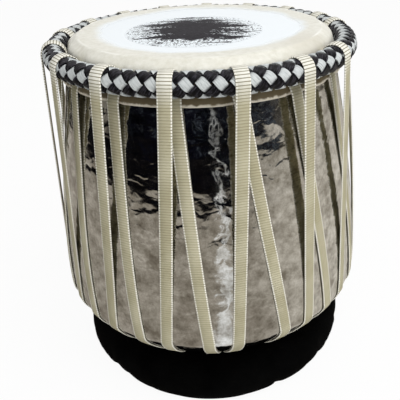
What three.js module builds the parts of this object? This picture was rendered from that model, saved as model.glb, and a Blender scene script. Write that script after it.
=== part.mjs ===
// A tabla bayan, the bass drum of the pair, standing in its ring cushion.
// Millimetres, Z up. The floor is at zero and the drum's axis is Z.
// Turns round the drum start at the front, at -Y, and run towards +X.

import * as THREE from "three";

// Fits between pieces
const gap = 0.3;
const strapGap = 0.4;
const seatGap = 0.6;

// The pot: a spun shell with a rolled bead at its mouth
const bellyRadius = 137.5;
const bellyHeight = 84;
const mouthRadius = 98.5;
const mouthHeight = 296;
const neckRadius = 98;
const footRadius = 42;
const footHeight = 12;
const shellWall = 1.5;
const beadRadius = 2.4;
const waistRadius = 99.8;
const waistHeight = 264.4;
const shoulderRadius = 112.5;
const shoulderHeight = 252;
const shoulderReach = 9;
const bellyRise = 51;
const bellyDrop = 11;
const bowlReach = 45;

// The head: three skins over the rim, and the paste on the middle one
const innerRingSkinThickness = 0.6;
const mainSkinThickness = 0.7;
const outerRingSkinThickness = 0.8;
const innerRingSkinRadius = 84;
const outerRingSkinRadius = 80;
const skinSlope = THREE.MathUtils.degToRad(38);
const skirtDrop = 10;
const pasteRadius = 54;
const pasteThickness = 1.3;
const pasteEdgeThickness = 0.4;
const pasteShoulder = 5;
const pasteCentreX = -5;
const pasteCentreY = -11;

// The plaited ring that holds the head's edge
const braidOuterRadius = 125;
const braidTubeRadius = 8.7;
const braidDrop = 9;
const strandWidthOnTop = 6.6;
const strandWidthUnder = 3.6;
const strandThickness = 0.8;
const strandWave = 1.2;
const strandsOfAColour = 4;
const strandTurns = 18;
const braidRowTilt = THREE.MathUtils.degToRad(18);

// The lacing: one flat strap between the braid and the bottom ring
const strapWidth = 10;
const strapThickness = 1;
const plaitRelief = 0.6;
const pairSpreadAtBelly = 11.9;
const pairSpreadAtRing = 5.3;
const gatherRadius = 100;
const strapTail = 14;

// The slots of the braid, in degrees round the drum: where the strap goes over the braid,
// where it comes out inside it, and the middle of the pair that it then runs down to
const lacing = [
  [-11.1, -10.2, 2],
  [11.4, 12, 28.8],
  [33.9, 35.3, 49.5],
  [56.4, 61.5, 71],
  [92, 93, 104.6],
  [113, 114, 125.7],
  [134.1, 135.1, 146.7],
  [155.1, 156.1, 167.8],
  [176.2, 177.2, 188.8],
  [197.2, 198.2, 209.9],
  [218.3, 219.3, 230.9],
  [239.3, 240.3, 251.9],
  [260.4, 261.4, 273],
  [281.4, 282.4, 296],
  [303.9, 301, 317],
  [326.4, 325.1, 338.3],
];

// The steel ring under the pot
const bottomRingRadius = 60;
const bottomRingWireRadius = 2.5;
const wireGap = 0.8;

// The ring cushion
const cushionRadius = 129;
const cushionSectionWidth = 52;
const cushionHeight = 36.5;
const cushionFlat = 0.5;
const coverThickness = 1.2;
const coverSeamGap = 1.6;

// How finely each form is faceted
const shellFacets = 36;
const hoopFacets = 48;
const hoopSides = 6;
const cushionFacets = 36;
const cushionInnerSteps = 3;
const cushionOuterSteps = 9;
const beadSteps = 8;
const foldSteps = 2;
const neckSteps = 2;
const bellySteps = 4;
const bowlSteps = 6;
const loopSteps = 8;
const ringLoopSteps = 4;

const braidCentreRadius = braidOuterRadius - braidTubeRadius;
const braidHeight = mouthHeight - braidDrop;

// Shell profile: the neck out to the shoulder, the belly, then the bowl down to the flat foot
const neckHeight = mouthHeight - 2 * beadRadius;
const waist = new THREE.Vector2(waistRadius, waistHeight);
const shoulder = new THREE.Vector2(shoulderRadius, shoulderHeight);
const neckCurve = new THREE.QuadraticBezierCurve(
  new THREE.Vector2(neckRadius, neckHeight),
  waist,
  shoulder,
);
const shoulderLean = shoulder.clone().sub(waist).setLength(shoulderReach);
const bellyCurve = new THREE.CubicBezierCurve(
  shoulder,
  shoulder.clone().add(shoulderLean),
  new THREE.Vector2(bellyRadius, bellyHeight + bellyRise),
  new THREE.Vector2(bellyRadius, bellyHeight),
);
const bowlCurve = new THREE.CubicBezierCurve(
  new THREE.Vector2(bellyRadius, bellyHeight),
  new THREE.Vector2(bellyRadius, bellyHeight - bellyDrop),
  new THREE.Vector2(footRadius + bowlReach, footHeight),
  new THREE.Vector2(footRadius, footHeight),
);
const shellOutline = [
  ...neckCurve.getPoints(neckSteps),
  ...bellyCurve.getPoints(bellySteps).slice(1),
  ...bowlCurve.getPoints(bowlSteps).slice(1),
];

// An open line of points moved sideways, to the right of its travel, by a distance.
function offsetLine(points, distance) {
  return points.map((point, i) => {
    const before = points[Math.max(i - 1, 0)];
    const after = points[Math.min(i + 1, points.length - 1)];
    const inward = point.clone().sub(before).normalize();
    const outward = after.clone().sub(point).normalize();
    const along = inward.add(outward).normalize();
    const bend = i > 0 && i < points.length - 1 ? outward.dot(along) : 1;
    const reach = distance / bend;
    return new THREE.Vector2(point.x + along.y * reach, point.y - along.x * reach);
  });
}

// The height of an outline at a radius, read along its length.
function heightAt(outline, radius) {
  for (let i = 1; i < outline.length; i++) {
    const a = outline[i - 1];
    const b = outline[i];
    if ((a.x - radius) * (b.x - radius) <= 0 && a.x !== b.x) {
      return THREE.MathUtils.mapLinear(radius, a.x, b.x, a.y, b.y);
    }
  }
  return Infinity;
}

// A quarter or other part of a circle, as points.
function arcPoints(centre, radius, from, to, steps) {
  const points = [];
  for (let i = 0; i <= steps; i++) {
    const angle = THREE.MathUtils.lerp(from, to, i / steps);
    points.push(
      new THREE.Vector2(
        centre.x + radius * Math.cos(angle),
        centre.y + radius * Math.sin(angle),
      ),
    );
  }
  return points;
}

// A profile of radius and height, turned about Z. It runs anticlockwise.
function turned(profile, facets) {
  const geometry = new THREE.LatheGeometry(profile, facets);
  return geometry.rotateX(Math.PI / 2);
}

// Rings of points joined into one closed surface, each ring anticlockwise about the travel.
// The faces between two rings are split along one diagonal or, leaning left, along the other.
function swept(rings, joinedEnds, leansLeft) {
  const sides = rings[0].length;
  const positions = rings.flat().flatMap((p) => [p.x, p.y, p.z]);
  const faces = [];
  const spans = joinedEnds ? rings.length : rings.length - 1;
  for (let i = 0; i < spans; i++) {
    const a = i * sides;
    const b = ((i + 1) % rings.length) * sides;
    for (let j = 0; j < sides; j++) {
      const k = (j + 1) % sides;
      if (leansLeft) {
        faces.push(a + j, a + k, b + j, a + k, b + k, b + j);
      } else {
        faces.push(a + j, a + k, b + k, a + j, b + k, b + j);
      }
    }
  }
  if (!joinedEnds) {
    const last = (rings.length - 1) * sides;
    for (let j = 1; j < sides - 1; j++) {
      faces.push(0, j + 1, j, last, last + j, last + j + 1);
    }
  }
  const geometry = new THREE.BufferGeometry();
  geometry.setAttribute("position", new THREE.Float32BufferAttribute(positions, 3));
  geometry.setIndex(faces);
  return geometry;
}

// A place given by its turn round the drum, its radius and its height.
function placed(turn, radius, height) {
  return new THREE.Vector3(radius * Math.sin(turn), -radius * Math.cos(turn), height);
}

const group = new THREE.Group();

function addPiece(name, geometry, colour, roughness, metalness) {
  const material = new THREE.MeshStandardMaterial({ color: colour, roughness, metalness });
  const mesh = new THREE.Mesh(geometry, material);
  mesh.name = name;
  group.add(mesh);
  return mesh;
}

// Pot: outer face up to the bead, round it, and the inner face back down to the axis
const beadCentre = new THREE.Vector2(mouthRadius - beadRadius, mouthHeight - beadRadius);

function shellProfile() {
  const inner = offsetLine(shellOutline, shellWall);
  const beadStart = Math.atan2(neckHeight - beadCentre.y, neckRadius - beadCentre.x);
  const beadEnd = Math.atan2(inner[0].y - beadCentre.y, inner[0].x - beadCentre.x);
  return [
    new THREE.Vector2(0, footHeight),
    ...[...shellOutline].reverse(),
    ...arcPoints(beadCentre, beadRadius, beadStart, beadEnd + 2 * Math.PI, beadSteps),
    ...inner,
    new THREE.Vector2(0, footHeight + shellWall),
  ];
}

addPiece("shell", turned(shellProfile(), shellFacets), "#b9b7b4", 0.16, 1);

// Skins: each follows the rim at its own distance, over the bead and down inside the braid
const innerRingSkinFace = gap;
const mainSkinFace = innerRingSkinFace + innerRingSkinThickness + gap;
const outerRingSkinFace = mainSkinFace + mainSkinThickness + gap;
const headThickness = outerRingSkinFace + outerRingSkinThickness;
const slotDepth = plaitRelief + strapThickness + 2 * strapGap;
const skirtRadius = braidCentreRadius - braidTubeRadius - slotDepth - headThickness;
const skirtHeight = braidHeight - braidTubeRadius - skirtDrop;

function headLine(startRadius, distance) {
  const line = [new THREE.Vector2(startRadius, mouthHeight + distance)];
  const slopeFrom = Math.PI / 2 - skinSlope;
  const reach = beadRadius + distance;
  line.push(...arcPoints(beadCentre, reach, Math.PI / 2, slopeFrom, foldSteps));
  const edge = line[line.length - 1];
  const foldRadius = skirtRadius + distance;
  const foldHeight = edge.y - (foldRadius - edge.x) * Math.tan(skinSlope);
  line.push(new THREE.Vector2(foldRadius, foldHeight));
  line.push(new THREE.Vector2(foldRadius, skirtHeight));
  return line;
}

function skinProfile(startRadius, face, thickness) {
  return [
    ...headLine(startRadius, face),
    ...headLine(startRadius, face + thickness).reverse(),
  ];
}

function innerRingSkinProfile() {
  const end = Math.PI / 2 - skinSlope;
  const innerReach = beadRadius + innerRingSkinFace;
  const under = arcPoints(beadCentre, innerReach, Math.PI / 2, end, foldSteps);
  const outerReach = innerReach + innerRingSkinThickness;
  const over = arcPoints(beadCentre, outerReach, end, Math.PI / 2, foldSteps);
  return [
    new THREE.Vector2(innerRingSkinRadius, mouthHeight + innerRingSkinFace),
    ...under,
    ...over,
    new THREE.Vector2(innerRingSkinRadius, mouthHeight + innerRingSkinFace + innerRingSkinThickness),
    new THREE.Vector2(innerRingSkinRadius, mouthHeight + innerRingSkinFace),
  ];
}

const outerRingSkinProfile = skinProfile(
  outerRingSkinRadius,
  outerRingSkinFace,
  outerRingSkinThickness,
);
outerRingSkinProfile.push(outerRingSkinProfile[0]);

addPiece("inner_ring_skin", turned(innerRingSkinProfile(), shellFacets), "#d8ccb0", 0.7, 0);
addPiece(
  "main_skin",
  turned(skinProfile(0, mainSkinFace, mainSkinThickness), shellFacets),
  "#e8edf2",
  0.5,
  0,
);
addPiece("outer_ring_skin", turned(outerRingSkinProfile, shellFacets), "#e2dcc6", 0.55, 0);

// Paste: a low mound, thick in the middle and feathered at its edge
function pasteProfile() {
  const base = mouthHeight + mainSkinFace + mainSkinThickness + gap;
  const top = base + pasteThickness;
  return [
    new THREE.Vector2(0, base),
    new THREE.Vector2(pasteRadius, base),
    new THREE.Vector2(pasteRadius, base + pasteEdgeThickness),
    new THREE.Vector2(pasteRadius - pasteShoulder, top - pasteEdgeThickness),
    new THREE.Vector2(pasteRadius / 2, top),
    new THREE.Vector2(0, top),
  ];
}

const paste = addPiece("tuning_paste", turned(pasteProfile(), shellFacets), "#453c42", 0.8, 0);
paste.position.set(pasteCentreX, pasteCentreY, 0);

// Braid: a hoop with white and black strips plaited round it, over one and under one
const strandRadius = braidTubeRadius - strandWave;
const coreRadius = strandRadius - strandWave - strandThickness - gap;
const crossingsInATurn = 2 * strandsOfAColour;
const strandSteps = strandTurns * crossingsInATurn;

const core = new THREE.TorusGeometry(braidCentreRadius, coreRadius, hoopSides, hoopFacets);
addPiece("braid_core_hoop", core, "#8a7350", 0.8, 0).position.set(0, 0, braidHeight);

function braidPoint(turn, tubeAngle, reach) {
  const radius = braidCentreRadius + reach * Math.cos(tubeAngle);
  return placed(turn, radius, braidHeight + reach * Math.sin(tubeAngle));
}

// One strip of the plait, wide where it lies on top and drawn in where it goes under.
function strandRings(index, direction, onTopAtEven) {
  const rings = [];
  const startAngle = braidRowTilt + (index * 2 * Math.PI) / strandsOfAColour;
  const place = (step, lift) => {
    const turn = (2 * Math.PI * step) / strandSteps;
    const tubeAngle = startAngle + (direction * 2 * Math.PI * step) / crossingsInATurn;
    return braidPoint(turn, tubeAngle, strandRadius + lift);
  };
  for (let step = 0; step < strandSteps; step++) {
    const onTop = (step % 2 === 0) === onTopAtEven;
    const lift = onTop ? strandWave : -strandWave;
    const middle = place(step, lift);
    const outwards = middle.clone().sub(place(step, lift - strandThickness)).normalize();
    const travel = place(step + 1, 0).sub(place(step - 1, 0)).normalize();
    const across = new THREE.Vector3().crossVectors(outwards, travel).normalize();
    const width = onTop ? strandWidthOnTop : strandWidthUnder;
    rings.push([
      middle.clone().addScaledVector(across, width / 2),
      middle.clone().addScaledVector(across, -width / 2),
      middle.clone().addScaledVector(outwards, -strandThickness),
    ]);
  }
  return rings;
}

for (let i = 0; i < strandsOfAColour; i++) {
  const white = swept(strandRings(i, -1, true), true, true);
  addPiece("white_strand_" + (i + 1), white, "#cfd0d0", 0.5, 0);
  const black = swept(strandRings(i, 1, false), true, false);
  addPiece("black_strand_" + (i + 1), black, "#1d1719", 0.5, 0);
}

// Lacing: stations of the strap's middle line, in the plane through the drum's axis
const strapHalf = strapThickness / 2;
const strapLine = offsetLine(shellOutline, -(strapGap + strapHalf));
const wireReach = bottomRingWireRadius + wireGap + strapHalf;
const wireHeight = heightAt(strapLine, bottomRingRadius) - wireReach;
const braidReach = braidTubeRadius + plaitRelief + strapGap + strapHalf;

// The point of the pot's outline where a strap pulled tight from above first touches it.
function touchIndex(from) {
  let best = 0;
  let steepest = -Infinity;
  strapLine.forEach((point, i) => {
    const slope = (point.x - from.x) / (from.y - point.y);
    if (point.y < from.y - braidReach && slope > steepest) {
      steepest = slope;
      best = i;
    }
  });
  return best;
}

// The point where a strap pulled tight from below the bottom ring first touches the bowl.
function liftIndex(from) {
  let best = strapLine.length - 1;
  let flattest = Infinity;
  strapLine.forEach((point, i) => {
    const slope = (point.y - from.y) / (point.x - from.x);
    if (point.x > from.x + wireReach && point.y < bellyHeight && slope < flattest) {
      flattest = slope;
      best = i;
    }
  });
  return best;
}

// The sideways place of a strap of a pair, from the pair's middle line, as a turn.
function pairTurn(radius) {
  const share = (bellyRadius - radius) / (bellyRadius - gatherRadius);
  const along = THREE.MathUtils.clamp(share, 0, 1);
  return THREE.MathUtils.lerp(pairSpreadAtBelly, pairSpreadAtRing, along) / radius;
}

const slots = lacing.map((degrees) => {
  const [over, out, pair] = degrees.map((angle) => THREE.MathUtils.degToRad(angle));
  return { over, out, pair };
});
const lastPair = slots[slots.length - 1].pair;
const slotExit = new THREE.Vector2(braidCentreRadius - braidReach, braidHeight);
const braidEntry = new THREE.Vector2(braidCentreRadius + braidReach, braidHeight);

// Down along the pot, on one side of the middle line of the pair that the strap joins.
function runStations(top, topTurn, pairMiddle, side, endIndex) {
  const touch = touchIndex(top);
  const bellyEndTurn = pairMiddle + side * pairTurn(bellyRadius);
  const turnAt = (point) => {
    if (point.y < bellyHeight) {
      return pairMiddle + side * pairTurn(point.x);
    }
    const share = (top.y - point.y) / (top.y - bellyHeight);
    return THREE.MathUtils.lerp(topTurn, bellyEndTurn, share);
  };
  const middle = top.clone().lerp(strapLine[touch], 0.5);
  const points = [middle, ...strapLine.slice(touch, endIndex)];
  return points.map((point) => ({ point, turn: turnAt(point) }));
}

// Round the braid: up its outside, over, and down through the slot.
function overBraidStations(over, out) {
  const upSlope = strapLine[touchIndex(braidEntry)].clone().sub(braidEntry);
  const downSlope = strapLine[touchIndex(slotExit)].clone().sub(slotExit);
  const from = -Math.atan2(upSlope.x, -upSlope.y);
  const to = Math.PI + Math.atan2(downSlope.x, -downSlope.y);
  const centre = new THREE.Vector2(braidCentreRadius, braidHeight);
  const points = arcPoints(centre, braidReach, from, to, loopSteps);
  return points.map((point, i) => {
    const share = THREE.MathUtils.smoothstep(i, loopSteps / 2, loopSteps);
    return { point, turn: THREE.MathUtils.lerp(over, out, share), centre };
  });
}

// Round the wire of the bottom ring, from its top to its underside, stepping sideways.
function underRingStations(pair) {
  const centre = new THREE.Vector2(bottomRingRadius, wireHeight);
  const points = arcPoints(centre, wireReach, wireTop, wireUnderside, ringLoopSteps);
  return points.map((point, i) => {
    const side = THREE.MathUtils.lerp(-1, 1, i / ringLoopSteps);
    return { point, turn: pair + (side * pairSpreadAtRing) / bottomRingRadius, centre };
  });
}

const underside = new THREE.Vector2(bottomRingRadius, wireHeight - wireReach);
const bowlEnd = strapLine.findIndex((point) => point.y < bellyHeight && point.x < bottomRingRadius);
const liftPoint = liftIndex(underside);
const liftSlope = strapLine[liftPoint].clone().sub(underside).angle();
const wireTop = Math.PI / 2;
const wireUnderside = (3 * Math.PI) / 2 + liftSlope;

function slotStations({ over, out, pair }, i) {
  const pairBefore = i > 0 ? slots[i - 1].pair : lastPair - 2 * Math.PI;
  const up = runStations(braidEntry, over, pairBefore, 1, liftPoint + 1).reverse();
  const down = runStations(slotExit, out, pair, -1, bowlEnd);
  const loop = i < slots.length - 1 ? underRingStations(pair) : [];
  return [...up, ...overBraidStations(over, out), ...down, ...loop];
}

// The two ends of the strap, tucked in past the ring beside each other.
function tailStations() {
  const spread = pairSpreadAtRing / bottomRingRadius;
  const topPoint = new THREE.Vector2(bottomRingRadius, wireHeight + wireReach);
  const topEnd = new THREE.Vector2(
    bottomRingRadius - strapTail,
    heightAt(strapLine, bottomRingRadius - strapTail),
  );
  const lowEnd = underside.clone().sub(new THREE.Vector2(strapTail, 0));
  return {
    start: [
      { point: lowEnd, turn: lastPair - 2 * Math.PI + spread },
      { point: underside, turn: lastPair - 2 * Math.PI + spread },
    ],
    end: [
      { point: topPoint, turn: lastPair - spread },
      { point: topEnd, turn: lastPair - spread },
    ],
  };
}

// The strap's section at every station: level across, and flat on what it lies on.
function strapRings() {
  const tails = tailStations();
  const stations = [...tails.start, ...slots.flatMap(slotStations), ...tails.end];
  const middles = stations.map(({ point, turn }) => placed(turn, point.x, point.y));
  return stations.map(({ point, turn, centre }, i) => {
    const ahead = middles[Math.min(i + 1, middles.length - 1)];
    const behind = middles[Math.max(i - 1, 0)];
    const travel = ahead.clone().sub(behind).normalize();
    const out = placed(turn, 1, 0);
    const rise = travel.clone().setZ(0).dot(out);
    let upright = new THREE.Vector3(-travel.z * out.x, -travel.z * out.y, rise);
    if (centre) {
      upright = placed(turn, centre.x, centre.y).sub(middles[i]);
    }
    upright.normalize();
    const across = placed(turn + Math.PI / 2, 1, 0);
    const corner = (side, layer) =>
      middles[i]
        .clone()
        .addScaledVector(across, (side * strapWidth) / 2)
        .addScaledVector(upright, layer * strapHalf);
    return [corner(1, 1), corner(-1, 1), corner(-1, -1), corner(1, -1)];
  });
}

addPiece("lacing_strap", swept(strapRings(), false, false), "#d9d3b4", 0.75, 0);

const wire = new THREE.TorusGeometry(bottomRingRadius, bottomRingWireRadius, hoopSides, hoopFacets);
addPiece("bottom_ring", wire, "#8d9094", 0.35, 1).position.set(0, 0, wireHeight);

// Cushion: a round section, flat on the floor and pressed to the pot's shape where it sits
const cushionCentre = new THREE.Vector2(
  cushionRadius - cushionSectionWidth / 2,
  cushionHeight / 2 - cushionFlat,
);
const seatLine = offsetLine(
  [...strapLine.slice(neckSteps + bellySteps, liftPoint + 1), underside],
  -(strapHalf + seatGap),
);

const flatAngle = Math.acos(1 - (2 * cushionFlat) / cushionHeight);

function cushionSection(inset) {
  const halfWidth = cushionSectionWidth / 2 - inset;
  const halfHeight = cushionHeight / 2 - inset;
  const seatFace = offsetLine(seatLine, -inset);
  const angles = [];
  for (let i = 0; i <= cushionInnerSteps; i++) {
    const flatEdge = -Math.PI / 2 - flatAngle;
    angles.push(THREE.MathUtils.lerp(-Math.PI, flatEdge, i / cushionInnerSteps));
  }
  for (let i = 0; i <= cushionOuterSteps; i++) {
    const flatEdge = -Math.PI / 2 + flatAngle;
    angles.push(THREE.MathUtils.lerp(flatEdge, Math.PI, i / cushionOuterSteps));
  }
  return angles.map((angle) => {
    const radius = cushionCentre.x + halfWidth * Math.cos(angle);
    const height = cushionCentre.y + halfHeight * Math.sin(angle);
    const seat = heightAt(seatFace, radius);
    return new THREE.Vector2(radius, Math.max(inset, Math.min(height, seat)));
  });
}

function coverProfile() {
  const outer = cushionSection(0);
  const inner = cushionSection(coverThickness);
  for (const line of [outer, inner]) {
    line[0].y -= coverSeamGap;
  }
  const profile = [...outer, ...inner.reverse()];
  return [...profile, profile[0]];
}

addPiece("cushion_cover", turned(coverProfile(), cushionFacets), "#141315", 0.95, 0);
addPiece(
  "cushion_stuffing",
  turned(cushionSection(coverThickness + gap), cushionFacets),
  "#8c8474",
  1,
  0,
);

export default group;
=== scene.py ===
# A tabla bayan, the bass drum of the pair, dressed for its picture.
# Metres, Z up. The floor is at zero and the drum's axis is Z.
# Turns round the drum start at the front, at -Y, and run towards +X.

import math
import bpy
from mathutils import Matrix, Vector


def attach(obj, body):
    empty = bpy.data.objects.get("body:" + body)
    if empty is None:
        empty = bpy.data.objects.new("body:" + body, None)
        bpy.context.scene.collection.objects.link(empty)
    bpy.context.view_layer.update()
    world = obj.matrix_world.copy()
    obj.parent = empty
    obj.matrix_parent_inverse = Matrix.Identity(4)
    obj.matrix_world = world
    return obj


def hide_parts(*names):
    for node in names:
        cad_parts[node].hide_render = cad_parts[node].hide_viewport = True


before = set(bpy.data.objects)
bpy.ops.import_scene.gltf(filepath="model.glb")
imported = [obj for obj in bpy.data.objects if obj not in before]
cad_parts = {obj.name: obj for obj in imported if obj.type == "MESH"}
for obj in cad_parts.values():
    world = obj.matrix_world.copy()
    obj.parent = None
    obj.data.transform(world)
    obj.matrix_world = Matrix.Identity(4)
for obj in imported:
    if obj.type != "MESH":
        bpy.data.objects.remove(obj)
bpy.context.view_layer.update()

MM = 0.001
MERGE_DISTANCE = 0.005 * MM
SMOOTH_ANGLE = math.radians(60)

# The pot
BELLY_RADIUS = 137.5 * MM
BELLY_HEIGHT = 84 * MM
MOUTH_RADIUS = 98.5 * MM
MOUTH_HEIGHT = 296 * MM
NECK_RADIUS = 98 * MM
FOOT_RADIUS = 42 * MM
FOOT_HEIGHT = 12 * MM
SHELL_WALL = 1.5 * MM
BEAD_RADIUS = 2.4 * MM
WAIST_RADIUS = 105 * MM
WAIST_HEIGHT = 286 * MM
SHOULDER_RADIUS = 110.8 * MM
SHOULDER_HEIGHT = 268 * MM
SHOULDER_FLARE = 9.6 * MM
SHOULDER_DROP = 40 * MM
BELLY_RISE = 51 * MM
BELLY_DROP = 11 * MM
BOWL_REACH = 45 * MM
CORNER_SHARE = 2 / 3
POLE_RADIUS = 1 * MM
BEAD_STEPS = 16
NECK_STEPS = 14
BELLY_STEPS = 30
BOWL_STEPS = 26
POT_FACETS = 180

# The head
SKIN_GAP = 0.3 * MM
INNER_RING_THICKNESS = 0.6 * MM
MAIN_SKIN_THICKNESS = 0.7 * MM
OUTER_RING_THICKNESS = 0.8 * MM
INNER_RING_RADIUS = 84 * MM
OUTER_RING_RADIUS = 80 * MM
OUTER_RING_TAPER = 5 * MM
OUTER_RING_GAP = 0.05 * MM
RIDGE_RADIUS = 97 * MM
SKIN_SLOPE = math.radians(38)
SKIRT_RADIUS = 102.2 * MM
SKIRT_FOOT = 270.8 * MM
SKIRT_FLARE = 8 * MM
SKIRT_BULGE = 1.2 * MM
SKIN_STEP = 6 * MM
RIM_STEPS = 8
FOLD_DROP = 3 * MM
FOLD_EASE_SHARE = 0.35
FOLD_STEPS = 6
SKIRT_STEPS = 7
SKIN_FACETS = 240
INNER_RING_FACETS = 120
BULGE_MARGIN = 1.2 * MM
BULGE_EASE = 2.5 * MM
BULGE_RISE = 3 * MM
PASTE_RADIUS = 54 * MM
PASTE_THICKNESS = 1.3 * MM
PASTE_GAP = 0.05 * MM
PASTE_SLOPE_SHARE = 0.7
PASTE_STEPS = 12
PASTE_FACETS = 96
PASTE_CENTRE = Vector((-5 * MM, -11 * MM, 0))

# The plaited ring
BRAID_TUBE_RADIUS = 8.7 * MM
BRAID_CENTRE_RADIUS = 116.3 * MM
BRAID_HEIGHT = 287 * MM
WHITE_WIDTH_ON_TOP = 6.8 * MM
BLACK_WIDTH_ON_TOP = 8.2 * MM
STRIP_WIDTH_UNDER = 4.6 * MM
STRIP_THICKNESS = 0.9 * MM
STRIP_CROWN = 0.3 * MM
STRIP_WAVE = 1.2 * MM
STRIPS_OF_A_COLOUR = 4
STRIP_TURNS = 18
BRAID_ROW_TILT = math.radians(18)
STEPS_A_CROSSING = 6
TRAVEL_SHARE = 0.25
WAVE_POWER = 0.6
STRIP_SMOOTH_ANGLE = math.radians(35)

# A strip's section: each point's share of half the width, and its drop as a share of the crown
STRIP_TOP_SHARES = ((1, 1), (0.6, 0.25), (0, 0), (-0.6, 0.25), (-1, 1))
STRIP_UNDERSIDE_SHARES = (-0.9, 0.9)
STRIP_UV_SHARES = (1, 0.8, 0.5, 0.2, 0, 0.1, 0.9, 1)

# The lacing strap
STRAP_WIDTH = 10 * MM
STRAP_THICKNESS = 1 * MM
STRAP_GAP = 0.3 * MM
PLAIT_RELIEF = 0.25 * MM
WIRE_GAP = 0.8 * MM
PAIR_SPREAD_AT_BELLY = 11.9 * MM
PAIR_SPREAD_AT_RING = 5.3 * MM
GATHER_RADIUS = 100 * MM
STRAP_TAIL = 14 * MM
RIB_SPACING = 2.05 * MM
RUN_STEPS = 12
OVER_STEPS = 20
LOOP_STEPS = 10

# The strap's section: each point's share of half the width and of half the thickness
STRAP_SECTION_SHARES = (
    (0.94, 1), (0, 1), (-0.94, 1), (-1, 0), (-0.94, -1), (0, -1), (0.94, -1), (1, 0),
)
STRAP_UV_SHARES = (0.97, 0.5, 0.03, 0, 0.03, 0.5, 0.97, 1, 0.97)

# The slots, in degrees round the drum: where the strap goes over the braid, where it comes
# out inside it, and the middle of the pair that it then runs down to
LACING = [
    (-11.1, -10.4, 2.2), (11.4, 11.6, 28.8), (33.9, 33.5, 48.8), (55.2, 57.5, 71),
    (99, 99.5, 107), (113, 114, 125.7), (134.1, 135.1, 146.7), (155.1, 156.1, 167.8),
    (176.2, 177.2, 188.8), (197.2, 198.2, 209.9), (218.3, 219.3, 230.9), (239.3, 240.3, 251.9),
    (260.4, 261.4, 273), (281.4, 282.4, 296), (303.9, 304.6, 317), (326.4, 326.8, 338.2),
]
SLOTS = [tuple(math.radians(angle) for angle in slot) for slot in LACING]

# The steel ring under the pot
BOTTOM_RING_RADIUS = 60 * MM
BOTTOM_RING_WIRE_RADIUS = 2.5 * MM
BOTTOM_RING_FACETS = 120
WIRE_FACETS = 16

# The ring cushion
CUSHION_RADIUS = 129 * MM
CUSHION_SECTION_WIDTH = 52 * MM
CUSHION_HEIGHT = 36.5 * MM
CUSHION_FLAT = 0.5 * MM
SEAT_GAP = 0.5 * MM
CUSHION_DRAW = 2.4 * MM
CUSHION_RISE = 0.9 * MM
CUSHION_SAG = 1.8 * MM
CUSHION_REACH = 5 * MM
CUSHION_PRESSURE = 60
CUSHION_VOXEL = 5 * MM
CUSHION_FRAMES = 20
CUSHION_FACETS = 144
CUSHION_SECTION_FACETS = 40

# The camera, as fitted to the photograph
CAMERA_DISTANCE = 448.75 * MM
CAMERA_ELEVATION = math.radians(13)
CAMERA_PITCH = math.radians(30.31)
CAMERA_YAW = math.radians(1.89)
CAMERA_ROLL = math.radians(3.13)
FOCAL_PIXELS = 521.9
IMAGE_PIXELS = 400
AXIS_PIXEL = Vector((226.9, 202.3))

# The floor, the room that the plating mirrors, and the light, in metres and watts
FLOOR_SIZE = 12.0
FLOOR_LIFT = 0.94  # towards plain white, so that only a faint shadow stays
WORLD_LEVEL = 0.5
ROOM_RADIUS = 4.0
ROOM_HEIGHT = 3.0
ROOM_SIDES = 96
ROOM_REACH = math.radians(140)
ROOM_FLOOR_RISE = 1 * MM
LAMP_TARGET = Vector((0, 0, 0.2))
KEY_PLACE = Vector((0.6, -0.7, 1.85))
KEY_SIZE = 1.2
KEY_WATTS = 21
FILL_PLACE = Vector((0.9, -1.3, 0.6))
FILL_SIZE = 0.8
FILL_WATTS = 3.5


# Operators and small helpers

def deselect_all():
    for thing in bpy.context.selected_objects:
        thing.select_set(False)


def select_only(thing):
    deselect_all()
    thing.select_set(True)
    bpy.context.view_layer.objects.active = thing


def finish_piece(piece, name, body, material, replaced, smooth_angle=SMOOTH_ANGLE):
    piece.name = name
    piece.data.name = name
    select_only(piece)
    bpy.ops.object.shade_smooth_by_angle(angle=smooth_angle)
    piece.data.materials.append(material)
    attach(piece, body)
    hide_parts(*replaced)


def lerp(a, b, share):
    return a + (b - a) * share


def smoothstep(low, high, value):
    share = min(max((value - low) / (high - low), 0), 1)
    return share * share * (3 - 2 * share)


def placed(turn, radius, height):
    return Vector((radius * math.sin(turn), -radius * math.cos(turn), height))


def bezier(a, b, c, d, steps):
    points = []
    for i in range(steps + 1):
        t = i / steps
        u = 1 - t
        points.append(a * u**3 + b * 3 * u * u * t + c * 3 * u * t * t + d * t**3)
    return points


def arc(centre, radius, start, end, steps):
    angles = [lerp(start, end, i / steps) for i in range(steps + 1)]
    return [centre + radius * Vector((math.cos(a), math.sin(a))) for a in angles]


def offset_line(points, distance):
    """The line moved sideways, to the right of its travel, by a distance."""
    moved = []
    for i, point in enumerate(points):
        inward = (point - points[max(i - 1, 0)]).normalized()
        outward = (points[min(i + 1, len(points) - 1)] - point).normalized()
        along = (inward + outward).normalized()
        bend = outward.dot(along) if 0 < i < len(points) - 1 else 1
        moved.append(point + Vector((along.y, -along.x)) * distance / bend)
    return moved


def height_at(line, radius):
    for a, b in zip(line, line[1:]):
        if (a.x - radius) * (b.x - radius) <= 0 and a.x != b.x:
            return lerp(a.y, b.y, (radius - a.x) / (b.x - a.x))
    return math.inf


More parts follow.
